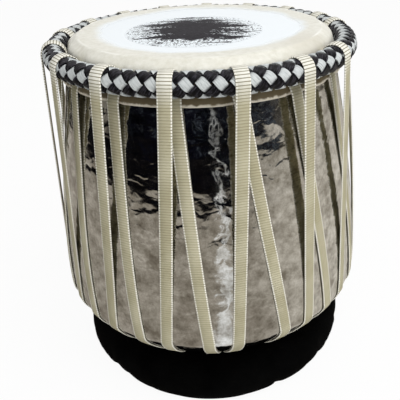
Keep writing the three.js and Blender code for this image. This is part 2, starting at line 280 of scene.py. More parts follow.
def turned_piece(outline, facets, closed=False):
    """A circle extruded and resized along an outline of radius and height."""
    deselect_all()
    first = outline[0]
    bpy.ops.mesh.primitive_circle_add(vertices=facets, radius=first.x)
    piece = bpy.context.object
    bpy.ops.object.mode_set(mode="EDIT")
    bpy.ops.transform.translate(value=(0, 0, first.y))
    rings = outline[1:] + outline[:1] if closed else outline[1:]
    for before, after in zip(outline, rings):
        rise = (0, 0, after.y - before.y)
        bpy.ops.mesh.extrude_edges_move(TRANSFORM_OT_translate={"value": rise})
        share = after.x / before.x
        bpy.ops.transform.resize(value=(share, share, 1), center_override=(0, 0, 0))
    bpy.ops.mesh.select_all(action="SELECT")
    bpy.ops.mesh.remove_doubles(threshold=MERGE_DISTANCE)
    if not closed:
        bpy.ops.mesh.fill_holes(sides=0)
    bpy.ops.mesh.select_all(action="SELECT")
    bpy.ops.mesh.normals_make_consistent(inside=False)
    bpy.ops.object.mode_set(mode="OBJECT")
    return piece


def swept_piece(name, rings, across, joined_ends):
    """Rings of points joined into one body. UV holds the place across and the length in metres."""
    sides = len(rings[0])
    count = len(rings)
    spans = count if joined_ends else count - 1
    lengths = [0.0]
    for i in range(spans):
        step = rings[(i + 1) % count][0] - rings[i][0]
        lengths.append(lengths[-1] + step.length)
    faces = []
    places = []
    for i in range(spans):
        a = i * sides
        b = ((i + 1) % count) * sides
        for j in range(sides):
            k = (j + 1) % sides
            faces.append((a + j, a + k, b + k, b + j))
            near, far = across[j], across[j + 1]
            places += [(near, lengths[i]), (far, lengths[i])]
            places += [(far, lengths[i + 1]), (near, lengths[i + 1])]
    if not joined_ends:
        last = (count - 1) * sides
        faces.append(tuple(reversed(range(sides))))
        faces.append(tuple(range(last, last + sides)))
        places += [(0.5, 0.0)] * sides + [(0.5, lengths[-1])] * sides
    mesh = bpy.data.meshes.new(name)
    mesh.from_pydata([point for ring in rings for point in ring], [], faces)
    layer = mesh.uv_layers.new(name="UVMap")
    layer.data.foreach_set("uv", [number for place in places for number in place])
    piece = bpy.data.objects.new(name, mesh)
    bpy.context.scene.collection.objects.link(piece)
    return piece


# Materials

def linear(hex_colour):
    """An sRGB hex colour as the linear colour that a shader takes."""
    parts = [int(hex_colour[i:i + 2], 16) / 255 for i in (1, 3, 5)]
    curved = [c / 12.92 if c <= 0.04045 else ((c + 0.055) / 1.055) ** 2.4 for c in parts]
    return (*curved, 1.0)


def add(tree, kind, inputs=None, stops=None, **settings):
    """A node with its settings and its inputs: values, outputs, or nodes for their first output."""
    made = tree.nodes.new("ShaderNode" + kind)
    for name, value in settings.items():
        setattr(made, name, value)
    for socket, value in (inputs or {}).items():
        if isinstance(value, bpy.types.Node):
            value = next(output for output in value.outputs if output.enabled)
        if isinstance(value, bpy.types.NodeSocket):
            tree.links.new(value, made.inputs[socket])
        else:
            made.inputs[socket].default_value = value
    if stops:
        ramp = made.color_ramp
        while len(ramp.elements) < len(stops):
            ramp.elements.new(1)
        for element, (place, colour) in zip(ramp.elements, stops):
            element.position = place
            element.color = linear(colour)
    return made


def noise(tree, place, size, detail=2, roughness=0.5):
    """A noise pattern whose marks are about so large, in metres."""
    inputs = {"Vector": place, "Scale": 1 / size, "Detail": detail, "Roughness": roughness}
    return add(tree, "TexNoise", inputs)


def maths(tree, operation, *values):
    return add(tree, "Math", dict(enumerate(values)), operation=operation)


def blend(tree, share, a, b):
    """The share of colour b over colour a."""
    return add(tree, "Mix", {"Factor": share, "A": a, "B": b}, data_type="RGBA")


def new_material(name, finish, *choices):
    """A material with the shader that one of the finishes below gives it."""
    material = bpy.data.materials.new(name)
    material.use_nodes = True
    tree = material.node_tree
    tree.nodes.clear()
    shader = finish(tree, add(tree, "TexCoord").outputs, *choices)
    add(tree, "OutputMaterial", {"Surface": shader})
    return material


def hammered_nickel_plate(tree, places):
    """Nickel plate over brass beaten with a round hammer: a warm mirror full of shallow dents."""
    dent = 14 * MM
    crease = 9 * MM
    ripple = 4 * MM
    tarnish_patch = 12 * MM
    dent_depth = 0.42 * MM
    crease_depth = 0.4 * MM
    ripple_depth = 0.06 * MM
    place = places["Object"]
    wander = noise(tree, place, dent).outputs["Color"]
    shift = add(tree, "VectorMath", {0: wander, 1: (0.5, 0.5, 0.5)}, operation="SUBTRACT")
    scaled = add(tree, "VectorMath", {0: shift, "Scale": dent}, operation="SCALE")
    warped = add(tree, "VectorMath", {0: place, 1: scaled}, operation="ADD")
    dents = add(
        tree, "TexVoronoi", {"Vector": warped, "Scale": 1 / dent, "Smoothness": 0.5},
        feature="SMOOTH_F1",
    )
    flattened = add(tree, "Mapping", {"Vector": warped, "Scale": (0.5, 0.5, 1.5)})
    creases = add(
        tree, "TexNoise",
        {"Vector": flattened, "Scale": 1 / crease, "Detail": 0.5, "Distortion": 0.4},
    )
    ripples = noise(tree, warped, ripple)
    normal = add(tree, "Bump", {"Height": dents, "Distance": dent_depth})
    normal = add(tree, "Bump", {"Height": creases, "Distance": crease_depth, "Normal": normal})
    normal = add(tree, "Bump", {"Height": ripples, "Distance": ripple_depth, "Normal": normal})
    tarnish = noise(tree, place, tarnish_patch, 8, 0.72)
    colour = add(
        tree, "ValToRGB", {"Fac": tarnish},
        stops=[(0.34, "#918C82"), (0.5, "#C2C0B9"), (0.66, "#E6E5E0")],
    )
    rough = add(tree, "MapRange", {"Value": tarnish, "To Min": 0.04, "To Max": 0.13})
    return add(
        tree, "BsdfPrincipled",
        {"Base Color": colour, "Metallic": 1.0, "Roughness": rough, "Normal": normal},
    )


def dressed_goatskin(tree, places):
    """Goatskin scraped and stretched: cream and faintly mottled, with a painted blue-white
    reflection of bright light in the middle and a painted highlight along the rim's ridge.
    """
    blotch = 38 * MM
    fibre_length = 4 * MM
    fibre_depth = 0.1 * MM
    glare_inside = 76 * MM
    glare_outside = 87 * MM
    glare_wander = 10 * MM
    stain_middle = (78 * MM, -66 * MM, 0)
    stain_core = 8 * MM
    stain_edge = 36 * MM
    ridge_crest = 0.2 * MM
    ridge_side = 1.2 * MM
    hem_ragged = 2 * MM
    hem_height = 20 * MM
    hanging_below = 13 * MM
    spread_above = 19 * MM
    place = places["Object"]
    flat = add(tree, "VectorMath", {0: place, 1: (1, 1, 0)}, operation="MULTIPLY")
    reach = add(tree, "VectorMath", {0: flat}, operation="LENGTH")
    cloud = noise(tree, place, blotch, 3)
    spread = add(
        tree, "MapRange", {"Value": cloud, "To Min": -glare_wander, "To Max": glare_wander},
    )
    edge = maths(tree, "ADD", reach, spread)
    # The blue-white middle, with a wandering edge, is a painted reflection of bright light on the
    # skin.
    glare_share = add(
        tree, "MapRange",
        {"Value": edge, "From Min": glare_inside, "From Max": glare_outside, "To Min": 1,
         "To Max": 0},
        interpolation_type="SMOOTHSTEP",
    )
    fibre = noise(tree, place, fibre_length, 5, 0.6)
    hide = add(
        tree, "ValToRGB", {"Fac": fibre},
        stops=[(0.3, "#D9D6C8"), (0.5, "#E2E0D4"), (0.72, "#ECEAE0")],
    )
    stain_place = add(tree, "VectorMath", {0: flat, 1: stain_middle}, operation="DISTANCE")
    stain_soft = add(
        tree, "MapRange",
        {"Value": stain_place, "From Min": stain_core, "From Max": stain_edge, "To Min": 0.35,
         "To Max": 0},
        interpolation_type="SMOOTHSTEP",
    )
    stain = maths(tree, "MULTIPLY", stain_soft, fibre)
    aged = blend(tree, stain, hide, linear("#A08E6C"))
    off_ridge = maths(tree, "SUBTRACT", reach, RIDGE_RADIUS)
    off_ridge = maths(tree, "ABSOLUTE", off_ridge)
    ridge = add(
        tree, "MapRange",
        {"Value": off_ridge, "From Min": ridge_crest, "From Max": ridge_side, "To Min": 1,
         "To Max": 0},
    )
    patchy = add(
        tree, "MapRange", {"Value": cloud, "From Min": 0.45, "From Max": 0.6, "To Max": 0.8},
    )
    # A thin pale line along the rim's ridge, in patches: a painted highlight where the skin turns
    # over the rim.
    painted_light_share = maths(tree, "MULTIPLY", ridge, patchy)
    lit_tone = blend(tree, painted_light_share, aged, linear("#FBFAF4"))
    with_glare = blend(tree, glare_share, lit_tone, linear("#EEF5F9"))
    height = add(tree, "SeparateXYZ", {"Vector": place}).outputs["Z"]
    ragged = add(tree, "MapRange", {"Value": fibre, "To Min": -hem_ragged, "To Max": hem_ragged})
    level = maths(tree, "ADD", height, ragged)
    from_foot = add(
        tree, "MapRange",
        {"Value": level, "From Min": SKIRT_FOOT, "From Max": SKIRT_FOOT + hem_height},
    )
    # The turned-down skirt is brown: partly the hide's own darker tone, partly painted shade under
    # the braid. Its pale foot is partly the raw cut edge, partly a painted highlight.
    hem = add(
        tree, "ValToRGB", {"Fac": from_foot},
        stops=[(0.04, "#E2D9C7"), (0.09, "#6E6146"), (0.4, "#54472F"), (0.75, "#7A6D52")],
    )
    hanging = add(
        tree, "MapRange",
        {"Value": level, "From Min": SKIRT_FOOT + hanging_below,
         "From Max": SKIRT_FOOT + spread_above, "To Min": 1, "To Max": 0},
    )
    colour = blend(tree, hanging, with_glare, hem)
    rough = add(tree, "MapRange", {"Value": glare_share, "To Min": 0.42, "To Max": 0.24})
    bump = add(tree, "Bump", {"Height": fibre, "Strength": 0.35, "Distance": fibre_depth})
    return add(
        tree, "BsdfPrincipled",
        {"Base Color": colour, "Roughness": rough, "Normal": bump, "IOR": 1.5},
    )


def tuning_paste_crust(tree, places):
    """Iron and flour paste worked on in layers: dark and grainy, with a painted blue-white
    reflection of bright light over it towards its edge, in streaks and specks.
    """
    streak = 40 * MM
    streak_thinness = 4.5
    grain = 2 * MM
    grain_depth = 0.2 * MM
    ragged_reach = 80 * MM
    core_inside = 33 * MM
    core_outside = 36 * MM
    dense_inside = 30 * MM
    place = places["Object"]
    away = add(
        tree, "VectorMath", {0: place, 1: (*PASTE_CENTRE.xy, MOUTH_HEIGHT)}, operation="DISTANCE",
    )
    streaks = add(tree, "Mapping", {"Vector": place, "Scale": (1, streak_thinness, 1)})
    rags = noise(tree, streaks, streak, 9, 0.72)
    grains = noise(tree, place, grain, 2, 0.7)
    ragged = add(tree, "MapRange", {"Value": rags, "To Min": -ragged_reach, "To Max": ragged_reach})
    reach = maths(tree, "ADD", away, ragged)
    core = add(
        tree, "MapRange",
        {"Value": reach, "From Min": core_inside, "From Max": core_outside, "To Min": 1,
         "To Max": 0},
    )
    density = add(
        tree, "MapRange",
        {"Value": away, "From Min": dense_inside, "From Max": PASTE_RADIUS, "To Min": 0.47,
         "To Max": 0.6},
    )
    speck = maths(tree, "GREATER_THAN", grains, density)
    # Where neither the dark core nor a dark speck shows, the paste is painted blue-white: a painted
    # reflection of bright light.
    dark = maths(tree, "MAXIMUM", core, speck)
    crust = add(tree, "ValToRGB", {"Fac": grains}, stops=[(0.3, "#0C0A0E"), (0.7, "#2D2A30")])
    colour = blend(tree, dark, linear("#EEF5F9"), crust)
    rough = add(tree, "MapRange", {"Value": dark, "To Min": 0.3, "To Max": 0.7})
    bump = add(tree, "Bump", {"Height": grains, "Strength": 0.8, "Distance": grain_depth})
    return add(
        tree, "BsdfPrincipled",
        {"Base Color": colour, "Roughness": rough, "Normal": bump, "Specular IOR Level": 0.15},
    )


def cut_leather(tree, places, tones, roughness, gloss):
    """Leather cut in flat strips and pulled tight: fine creases along the strip, soft sheen. The
    colour follows the creases: darker in their hollows, which is painted shade.
    """
    creases_across = 8
    crease_length = 9 * MM
    crease_depth = 0.3 * MM
    pore = 1.2 * MM  # real pores are finer: these are as coarse as they need to be to show
    pore_depth = 0.08 * MM
    place = places["Object"]
    along = places["UV"]
    lines = add(tree, "Mapping", {"Vector": along, "Scale": (creases_across, 1 / crease_length, 1)})
    creases = add(tree, "TexNoise", {"Vector": lines, "Scale": 1, "Detail": 3})
    pores = noise(tree, place, pore)
    colour = add(tree, "ValToRGB", {"Fac": creases}, stops=tones)
    soft = add(tree, "Bump", {"Height": pores, "Strength": 0.5, "Distance": pore_depth})
    bump = add(
        tree, "Bump",
        {"Height": creases, "Strength": 0.7, "Distance": crease_depth, "Normal": soft},
    )
    return add(
        tree, "BsdfPrincipled",
        {"Base Color": colour, "Roughness": roughness, "Normal": bump, "Specular IOR Level": gloss},
    )


def grosgrain_webbing(tree, places):
    """Cotton webbing ribbed across, with a raised selvedge that catches the light rib by rib."""
    soil_patch = 25 * MM
    rib_depth = 0.2 * MM
    selvedge_inside_share = 0.38
    selvedge_outside_share = 0.42
    painted_light_from = BRAID_HEIGHT - 12 * MM
    painted_light_to = BRAID_HEIGHT + 4 * MM
    place = places["UV"]
    axes = add(tree, "SeparateXYZ", {"Vector": place})
    turns = maths(tree, "MULTIPLY", axes.outputs["Y"], 2 * math.pi / RIB_SPACING)
    rib = maths(tree, "SINE", turns)
    crest = add(
        tree, "MapRange", {"Value": rib, "From Min": -1, "From Max": -0.35},
        interpolation_type="SMOOTHSTEP",
    )
    from_middle = maths(tree, "SUBTRACT", axes.outputs["X"], 0.5)
    aside = maths(tree, "ABSOLUTE", from_middle)
    selvedge = add(
        tree, "MapRange",
        {"Value": aside, "From Min": selvedge_inside_share, "From Max": selvedge_outside_share},
    )
    spot = places["Object"]
    soil = noise(tree, spot, soil_patch, 4)
    height = add(tree, "SeparateXYZ", {"Vector": spot}).outputs["Z"]
    # Over the braid the crests are painted paler and the valleys darker: painted light and shade
    # from above.
    painted_light_share = add(
        tree, "MapRange", {"Value": height, "From Min": painted_light_from, "From Max": painted_light_to},
    )
    soiled = add(tree, "ValToRGB", {"Fac": soil}, stops=[(0.35, "#B1AA8D"), (0.65, "#C3BDA3")])
    thread = blend(tree, painted_light_share, soiled, linear("#ECEADF"))
    shaded = add(tree, "ValToRGB", {"Fac": soil}, stops=[(0.35, "#9A9376"), (0.65, "#ACA689")])
    valley = blend(tree, painted_light_share, shaded, linear("#8F8971"))
    # The rib valleys take the darker tones: painted shade between the ribs. The selvedge crests
    # take near-white: painted highlights.
    ribbed = blend(tree, crest, valley, thread)
    dotted = blend(tree, crest, valley, linear("#F6F3E8"))
    colour = blend(tree, selvedge, ribbed, dotted)
    lift = maths(tree, "ADD", crest, selvedge)
    bump = add(tree, "Bump", {"Height": lift, "Distance": rib_depth})
    return add(
        tree, "BsdfPrincipled",
        {"Base Color": colour, "Roughness": 0.8, "Normal": bump, "Specular IOR Level": 0.2},
    )


def drawn_steel_wire(tree, places):
    """Bright drawn steel, dulled where the strap has worn it."""
    wear_patch = 4 * MM
    place = places["Object"]
    wear = noise(tree, place, wear_patch, 4)
    rough = add(tree, "MapRange", {"Value": wear, "To Min": 0.25, "To Max": 0.5})
    colour = add(tree, "ValToRGB", {"Fac": wear}, stops=[(0.3, "#8B8D90"), (0.7, "#B4B6B9")])
    return add(tree, "BsdfPrincipled", {"Base Color": colour, "Metallic": 1.0, "Roughness": rough})


def black_cotton_cloth(tree, places):
    """Closely woven black cotton: matt, slightly faded, with a faint grain of threads."""
    thread = 1.1 * MM  # real threads are finer: these are as coarse as they need to be to show
    thread_depth = 0.2 * MM
    faded_patch = 22 * MM
    place = places["Object"]
    threads = noise(tree, place, thread)
    fade = noise(tree, place, faded_patch, 3)
    colour = add(tree, "ValToRGB", {"Fac": fade}, stops=[(0.3, "#010101"), (0.7, "#050505")])
    bump = add(tree, "Bump", {"Height": threads, "Strength": 0.6, "Distance": thread_depth})
    return add(
        tree, "BsdfPrincipled",
        {"Base Color": colour, "Roughness": 0.95, "Normal": bump, "Specular IOR Level": 0.04},
    )


def raw_hide_hoop(tree, places):
    """Hide rolled into a stiff hoop, brown and dry."""
    grain_length = 6 * MM
    place = places["Object"]
    grain = noise(tree, place, grain_length, 5)
    colour = add(tree, "ValToRGB", {"Fac": grain}, stops=[(0.3, "#5E4A30"), (0.7, "#8A7350")])
    return add(tree, "BsdfPrincipled", {"Base Color": colour, "Roughness": 0.8})


# The camera

def add_camera():
    data = bpy.data.cameras.new("camera")
    data.lens = data.sensor_width * FOCAL_PIXELS / IMAGE_PIXELS
    middle = IMAGE_PIXELS / 2
    data.shift_x = (middle - AXIS_PIXEL.x) / IMAGE_PIXELS
    data.shift_y = (AXIS_PIXEL.y - middle) / IMAGE_PIXELS
    camera = bpy.data.objects.new("camera", data)
    bpy.context.scene.collection.objects.link(camera)
    right = Vector((1, 0, 0))
    forward = Vector((0, math.cos(CAMERA_PITCH), -math.sin(CAMERA_PITCH)))
    up = right.cross(forward)
    ahead = forward * math.cos(CAMERA_YAW) + right * math.sin(CAMERA_YAW)
    side = right * math.cos(CAMERA_YAW) - forward * math.sin(CAMERA_YAW)
    x_axis = side * math.cos(CAMERA_ROLL) - up * math.sin(CAMERA_ROLL)
    y_axis = side * math.sin(CAMERA_ROLL) + up * math.cos(CAMERA_ROLL)
    matrix = Matrix((x_axis, y_axis, -ahead)).transposed().to_4x4()
    away = Vector((0, -math.cos(CAMERA_ELEVATION), math.sin(CAMERA_ELEVATION)))
    matrix.translation = Vector((0, 0, BRAID_HEIGHT)) + away * CAMERA_DISTANCE
    camera.matrix_world = matrix
    bpy.context.scene.camera = camera


# The pot

neck_height = MOUTH_HEIGHT - 2 * BEAD_RADIUS
neck_top = Vector((NECK_RADIUS, neck_height))
waist = Vector((WAIST_RADIUS, WAIST_HEIGHT))
shoulder = Vector((SHOULDER_RADIUS, SHOULDER_HEIGHT))
neck_curve = bezier(
    neck_top, neck_top.lerp(waist, CORNER_SHARE), shoulder.lerp(waist, CORNER_SHARE), shoulder,
    NECK_STEPS,
)
belly_curve = bezier(
    shoulder,
    shoulder + Vector((SHOULDER_FLARE, -SHOULDER_DROP)),
    Vector((BELLY_RADIUS, BELLY_HEIGHT + BELLY_RISE)),
    Vector((BELLY_RADIUS, BELLY_HEIGHT)),
    BELLY_STEPS,
)
bowl_curve = bezier(
    Vector((BELLY_RADIUS, BELLY_HEIGHT)),
    Vector((BELLY_RADIUS, BELLY_HEIGHT - BELLY_DROP)),
    Vector((FOOT_RADIUS + BOWL_REACH, FOOT_HEIGHT)),
    Vector((FOOT_RADIUS, FOOT_HEIGHT)),
    BOWL_STEPS,
)
shell_outline = neck_curve + belly_curve[1:] + bowl_curve[1:]
belly_point = len(neck_curve) + len(belly_curve) - 2
bead_centre = Vector((MOUTH_RADIUS - BEAD_RADIUS, MOUTH_HEIGHT - BEAD_RADIUS))


def make_shell():
    inner = offset_line(shell_outline, SHELL_WALL)
    start = math.atan2(neck_height - bead_centre.y, NECK_RADIUS - bead_centre.x)
    end = math.atan2(inner[0].y - bead_centre.y, inner[0].x - bead_centre.x) + 2 * math.pi
    outline = [
        Vector((POLE_RADIUS, FOOT_HEIGHT)),
        *reversed(shell_outline),
        *arc(bead_centre, BEAD_RADIUS, start, end, BEAD_STEPS),
        *inner,
        Vector((POLE_RADIUS, FOOT_HEIGHT + SHELL_WALL)),
    ]
    piece = turned_piece(outline, POT_FACETS)
    plate = new_material("hammered_nickel_plate", hammered_nickel_plate)
    finish_piece(piece, "hammered_pot", "drum", plate, ["shell"])


# The head

main_skin_face = SKIN_GAP + INNER_RING_THICKNESS + SKIN_GAP
outer_ring_face = main_skin_face + MAIN_SKIN_THICKNESS + OUTER_RING_GAP
rounds_off = math.pi / 2 - SKIN_SLOPE


def head_line(start_radius, distance):
    """The outline of a skin's face from its inner edge, over the rim and down to its skirt."""
    crown = Vector((0, MOUTH_HEIGHT + distance))
    reach = BEAD_RADIUS + distance
    line = []
    rim = arc(bead_centre, reach, math.pi / 2, rounds_off, RIM_STEPS)
    spread = int((bead_centre.x - start_radius) / SKIN_STEP) + 1
    for i in range(spread):
        line.append(crown + Vector((lerp(start_radius, bead_centre.x, i / spread), 0)))
    line += rim
    fold_radius = SKIRT_RADIUS + distance
    fold_height = rim[-1].y - (fold_radius - rim[-1].x) * math.tan(SKIN_SLOPE)
    fold = Vector((fold_radius, fold_height))
    before = fold.lerp(rim[-1], FOLD_EASE_SHARE)
    below = Vector((fold_radius, fold_height - FOLD_DROP))
    line += bezier(rim[-1].lerp(before, 0.5), before, fold, below, FOLD_STEPS)
    foot = Vector((fold_radius + SKIRT_FLARE, SKIRT_FOOT))
    line += [below.lerp(foot, i / SKIRT_STEPS) for i in range(1, SKIRT_STEPS + 1)]
    return line


def bulge_between_slots(piece):
    """The skin is pushed out between the straps until it meets the plaited ring."""
    half = (STRAP_WIDTH / 2 + BULGE_MARGIN) / SKIRT_RADIUS
    ease = BULGE_EASE / SKIRT_RADIUS
    for vertex in piece.data.vertices:
        radius = vertex.co.xy.length
        turn = math.atan2(vertex.co.x, -vertex.co.y)
        aside = math.inf
        for over, out, _ in SLOTS:
            from_middle = math.remainder(turn - (over + out) / 2, 2 * math.pi)
            aside = min(aside, abs(from_middle) - abs(out - over) / 2)
        share = smoothstep(half, half + ease, aside)
        share *= smoothstep(SKIRT_RADIUS - BULGE_RISE, SKIRT_RADIUS, radius)
        vertex.co.xy *= 1 + share * SKIRT_BULGE / radius


def make_head(skin):
    inner_reach = BEAD_RADIUS + SKIN_GAP
    outer_reach = inner_reach + INNER_RING_THICKNESS
    ring = [
        Vector((INNER_RING_RADIUS, MOUTH_HEIGHT + SKIN_GAP)),
        *arc(bead_centre, inner_reach, math.pi / 2, rounds_off, RIM_STEPS),
        *arc(bead_centre, outer_reach, rounds_off, math.pi / 2, RIM_STEPS),
        Vector((INNER_RING_RADIUS, MOUTH_HEIGHT + SKIN_GAP + INNER_RING_THICKNESS)),
    ]
    piece = turned_piece(ring, INNER_RING_FACETS, closed=True)
    finish_piece(piece, "inner_skin_ring", "drum", skin, ["inner_ring_skin"])

    under = head_line(POLE_RADIUS, main_skin_face)
    over = head_line(POLE_RADIUS, main_skin_face + MAIN_SKIN_THICKNESS)
    piece = turned_piece(under + over[::-1], SKIN_FACETS)
    bulge_between_slots(piece)
    finish_piece(piece, "playing_skin", "drum", skin, ["main_skin"])

    under = head_line(OUTER_RING_RADIUS, outer_ring_face)
    over = head_line(OUTER_RING_RADIUS + OUTER_RING_TAPER, outer_ring_face + OUTER_RING_THICKNESS)
    piece = turned_piece(under + over[::-1], SKIN_FACETS, closed=True)
    bulge_between_slots(piece)
    finish_piece(piece, "outer_skin_ring", "drum", skin, ["outer_ring_skin"])


def make_paste():
    base = MOUTH_HEIGHT + main_skin_face + MAIN_SKIN_THICKNESS + PASTE_GAP
    outline = [Vector((POLE_RADIUS, base)), Vector((PASTE_RADIUS, base))]
    for i in range(1, PASTE_STEPS + 1):
        share = i / PASTE_STEPS
        radius = lerp(PASTE_RADIUS, POLE_RADIUS, share)
        rise = PASTE_THICKNESS * smoothstep(0, PASTE_SLOPE_SHARE, share)
        outline.append(Vector((radius, base + rise)))
    piece = turned_piece(outline, PASTE_FACETS)
    for vertex in piece.data.vertices:
        vertex.co += PASTE_CENTRE
    crust = new_material("tuning_paste_crust", tuning_paste_crust)
    finish_piece(piece, "paste_patch", "drum", crust, ["tuning_paste"])


# The plaited ring

def strip_rings(index, direction, width_on_top):
    rings = []
    crossings_a_turn = 2 * STRIPS_OF_A_COLOUR
    crossings = STRIP_TURNS * crossings_a_turn
    start = BRAID_ROW_TILT + index * 2 * math.pi / STRIPS_OF_A_COLOUR
    middle_radius = BRAID_TUBE_RADIUS - STRIP_WAVE

    def place(step, lift):
        turn = 2 * math.pi * step / crossings
        tube_angle = start + direction * 2 * math.pi * step / crossings_a_turn
        reach = middle_radius + lift
        radius = BRAID_CENTRE_RADIUS + reach * math.cos(tube_angle)
        return placed(turn, radius, BRAID_HEIGHT + reach * math.sin(tube_angle))

    for i in range(crossings * STEPS_A_CROSSING):
        step = i / STEPS_A_CROSSING
        phase = -direction * math.cos(math.pi * step)
        lift = STRIP_WAVE * math.copysign(abs(phase) ** WAVE_POWER, phase)
        middle = place(step, lift)
        outward = (middle - place(step, lift - MM)).normalized()
        travel = (place(step + TRAVEL_SHARE, 0) - place(step - TRAVEL_SHARE, 0)).normalized()
        aside = outward.cross(travel).normalized()
        on_top = (phase + 1) / 2
        half = lerp(STRIP_WIDTH_UNDER, width_on_top, math.sqrt(on_top)) / 2
        crown = STRIP_CROWN * on_top
        ring = []
        for across, drop in STRIP_TOP_SHARES:
            ring.append(middle + aside * across * half - outward * crown * drop)
        for across in STRIP_UNDERSIDE_SHARES:
            ring.append(middle + aside * across * half - outward * (crown + STRIP_THICKNESS))
        rings.append(ring)
    return rings


def make_plait():
    # Both sets of tones darken into the crease hollows: painted shade. The black's pale stop at
    # 0.57 is a thin painted sheen along its creases.
    white_tones = [(0.3, "#9DA1A2"), (0.45, "#C2C7C7"), (0.7, "#D6D9D8")]
    black_tones = [(0.38, "#050406"), (0.52, "#0E0C10"), (0.57, "#403E46"), (0.62, "#0E0C10")]
    white = new_material("white_cut_leather", cut_leather, white_tones, 0.6, 0.35)
    black = new_material("black_cut_leather", cut_leather, black_tones, 0.5, 0.15)
    strips = (
        ("white", -1, WHITE_WIDTH_ON_TOP, white), ("black", 1, BLACK_WIDTH_ON_TOP, black),
    )
    for i in range(STRIPS_OF_A_COLOUR):
        number = "_" + str(i + 1)
        for colour, direction, width, leather in strips:
            name = colour + "_plait_strip" + number
            rings = strip_rings(i, direction, width)
            piece = swept_piece(name, rings, STRIP_UV_SHARES, True)
            nodes = [colour + "_strand" + number]
            finish_piece(piece, name, "drum", leather, nodes, STRIP_SMOOTH_ANGLE)


# The lacing strap

strap_half = STRAP_THICKNESS / 2
strap_line = offset_line(shell_outline, -(STRAP_GAP + strap_half))
wire_reach = BOTTOM_RING_WIRE_RADIUS + WIRE_GAP + strap_half
wire_height = height_at(strap_line[belly_point:], BOTTOM_RING_RADIUS) - wire_reach
braid_reach = BRAID_TUBE_RADIUS + PLAIT_RELIEF + strap_half


def touch_index(start):
    """The point of the pot's outline where a strap pulled tight from above first touches it."""
    below = [i for i, point in enumerate(strap_line) if point.y < start.y - 2 * braid_reach]
    return max(below, key=lambda i: (strap_line[i].x - start.x) / (start.y - strap_line[i].y))


def lift_index(start):
    """The point where a strap pulled tight from under the bottom ring first touches the bowl."""
    beyond = [
        i for i, point in enumerate(strap_line)
        if point.x > start.x + wire_reach and point.y < BELLY_HEIGHT
    ]
    return min(beyond, key=lambda i: (strap_line[i].y - start.y) / (strap_line[i].x - start.x))


def pair_turn(radius):
    share = (BELLY_RADIUS - radius) / (BELLY_RADIUS - GATHER_RADIUS)
    share = min(max(share, 0), 1)
    return lerp(PAIR_SPREAD_AT_BELLY, PAIR_SPREAD_AT_RING, share) / radius


skirt_corner = Vector((
    SKIRT_RADIUS + SKIRT_FLARE + outer_ring_face + OUTER_RING_THICKNESS + STRAP_GAP + strap_half,
    SKIRT_FOOT,
))
braid_centre = Vector((BRAID_CENTRE_RADIUS, BRAID_HEIGHT))
braid_entry = braid_centre + Vector((braid_reach, 0))
exit_slope = skirt_corner - (braid_centre - Vector((braid_reach, 0)))
exit_angle = math.pi + math.atan2(exit_slope.x, -exit_slope.y)
slot_exit = braid_centre + braid_reach * Vector((math.cos(exit_angle), math.sin(exit_angle)))


def run_stations(corners, top_turn, pair_middle, side, end):
    """Down along the pot, on one side of the middle line of the pair that the strap joins."""
    top = corners[0]
    touch = touch_index(corners[-1])
    belly_turn = pair_middle + side * pair_turn(BELLY_RADIUS)
    free = []
    for a, b in zip(corners, corners[1:] + [strap_line[touch]]):
        free += [a.lerp(b, i / RUN_STEPS) for i in range(1, RUN_STEPS + 1)]
    free.pop()
    stations = []
    for point in free + strap_line[touch:end]:
        if point.y < BELLY_HEIGHT:
            turn = pair_middle + side * pair_turn(point.x)
        else:
            turn = lerp(top_turn, belly_turn, (top.y - point.y) / (top.y - BELLY_HEIGHT))
        stations.append((point, turn, None))
    return stations


def over_braid_stations(over, out):
    up_slope = strap_line[touch_index(braid_entry)] - braid_entry
    start = -math.atan2(up_slope.x, -up_slope.y)
    points = arc(braid_centre, braid_reach, start, exit_angle, OVER_STEPS)
    shares = [smoothstep(OVER_STEPS / 2, OVER_STEPS, i) for i in range(OVER_STEPS + 1)]
    turns = [lerp(over, out, share) for share in shares]
    return [(point, turn, braid_centre) for point, turn in zip(points, turns)]


ring_spread = PAIR_SPREAD_AT_RING / BOTTOM_RING_RADIUS
underside = Vector((BOTTOM_RING_RADIUS, wire_height - wire_reach))
lift_point = lift_index(underside)
lift_slope = math.atan2(
    strap_line[lift_point].y - underside.y, strap_line[lift_point].x - underside.x,
)
bowl_end = next(
    i for i, point in enumerate(strap_line)
    if point.y < BELLY_HEIGHT and point.x < BOTTOM_RING_RADIUS
)


def under_ring_stations(pair):
    centre = Vector((BOTTOM_RING_RADIUS, wire_height))
    points = arc(centre, wire_reach, math.pi / 2, 3 * math.pi / 2 + lift_slope, LOOP_STEPS)
    shares = [i / LOOP_STEPS for i in range(LOOP_STEPS + 1)]
    turns = [pair + lerp(-ring_spread, ring_spread, share) for share in shares]
    return [(point, turn, centre) for point, turn in zip(points, turns)]


def strap_stations():
    last = SLOTS[-1][2]
    first = last - 2 * math.pi
    top_point = Vector((BOTTOM_RING_RADIUS, wire_height + wire_reach))
    tail_radius = BOTTOM_RING_RADIUS - STRAP_TAIL
    top_end = Vector((tail_radius, height_at(strap_line[belly_point:], tail_radius)))
    stations = [
        (underside - Vector((STRAP_TAIL, 0)), first + ring_spread, None),
        (underside, first + ring_spread, None),
    ]
    pair_before = first
    for over, out, pair in SLOTS:
        stations += reversed(run_stations([braid_entry], over, pair_before, 1, lift_point + 1))
        stations += over_braid_stations(over, out)
        stations += run_stations([slot_exit, skirt_corner], out, pair, -1, bowl_end)
        if pair != last:
            stations += under_ring_stations(pair)
        pair_before = pair
    stations += [(top_point, last - ring_spread, None), (top_end, last - ring_spread, None)]
    return stations


